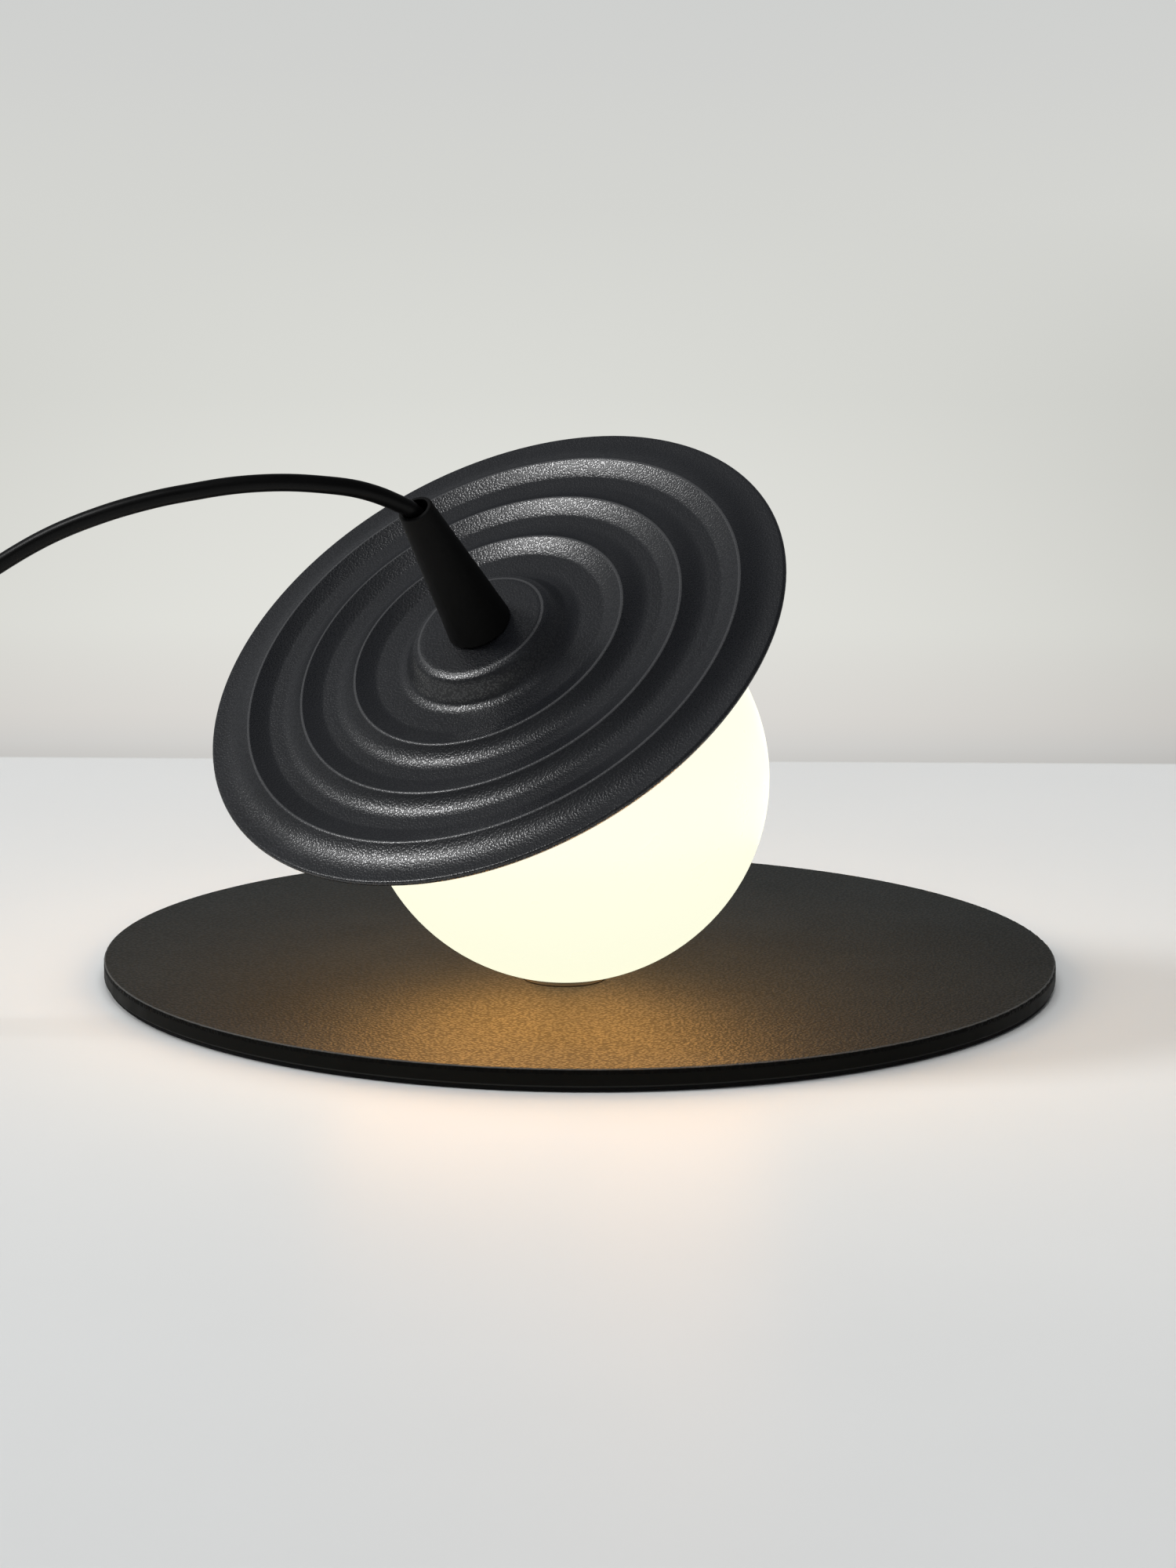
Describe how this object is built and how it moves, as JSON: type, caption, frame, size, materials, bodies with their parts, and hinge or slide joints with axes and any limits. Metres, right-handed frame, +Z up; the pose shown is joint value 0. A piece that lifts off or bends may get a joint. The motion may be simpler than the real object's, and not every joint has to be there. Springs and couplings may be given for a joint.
{
  "type": "table lamp",
  "caption": "Table lamp: an opal globe on a round leather-topped base, under a tilted rippled leather hat with a hollow cone that lets the cord out; switch and plug on the cord.",
  "frame": {"origin": "centre of the base, on the table", "axes": "+Z up; the lamp's front looks along -Y; the cord leaves towards -X"},
  "size_m": [0.532, 0.3, 0.1725],
  "materials": {
    "plate_paint": "gloss black",
    "base_leather": "fine grain, satin",
    "pad": "matt",
    "nylon": "natural",
    "seat_rubber": "matt",
    "steel": "zinc",
    "brass": "bright",
    "opal_glass": "opal, satin",
    "collar": "black anodised",
    "hat_leather": "fine grain, moulded",
    "hat_core": "satin white",
    "cone_black": "matt",
    "wire_cover": "plain",
    "porcelain": "white glaze",
    "bulb_frost": "frosted",
    "led": "lit",
    "cord": "smooth, semi-gloss",
    "switch_shell": "fine texture",
    "relief": "satin",
    "rocker": "gloss",
    "tie": "hook and loop strap",
    "plug": "moulded, satin",
    "pin_metal": "nickel"
  },
  "bodies": {
    "base": {"base_plate": "plate_paint", "base_leather": "base_leather", "base_pad": "pad", "pivot_bush": "nylon", "globe_seat": "seat_rubber"},
    "head": {"pivot_screw": "steel", "spring_washer": "steel", "foot_washer": "nylon", "foot_nut": "brass", "globe": "opal_glass", "globe_collar": "collar", "hat_leather": "hat_leather", "hat_core": "hat_core", "cone": "cone_black", "stem": "brass", "stem_washer": "steel", "stem_nut": "steel", "cord_grip": "nylon", "grip_screw": "steel", "lead_wires": "wire_cover", "lampholder": "porcelain", "holder_contacts": "brass", "bulb_cover": "bulb_frost", "bulb_foot": "porcelain", "bulb_pins": "steel", "bulb_led": "led", "cord_lead": "cord", "switch_base": "switch_shell", "switch_cover": "switch_shell", "switch_screws": "steel", "switch_reliefs": "relief", "switch_terminals": "brass", "rocker_pin": "steel", "cord_link": "cord", "cord_coil": "cord", "coil_tie": "tie", "cord_tail": "cord", "plug_body": "plug", "plug_pins": "pin_metal"},
    "rocker": {"rocker": "rocker", "rocker_bridge": "brass"}
  },
  "joints": [
    {"name": "head_swivel", "type": "hinge", "parent": "base", "child": "head", "pos_m": [-0.0048, -0.0352, 0], "axis": [0, 0, 1], "range_deg": [-90, 90]},
    {"name": "rocker_tilt", "type": "hinge", "parent": "head", "child": "rocker", "pos_m": [-0.368, 0.052, 0.0144], "axis": [1, 0, 0], "range_deg": [0, 16]}
  ]
}
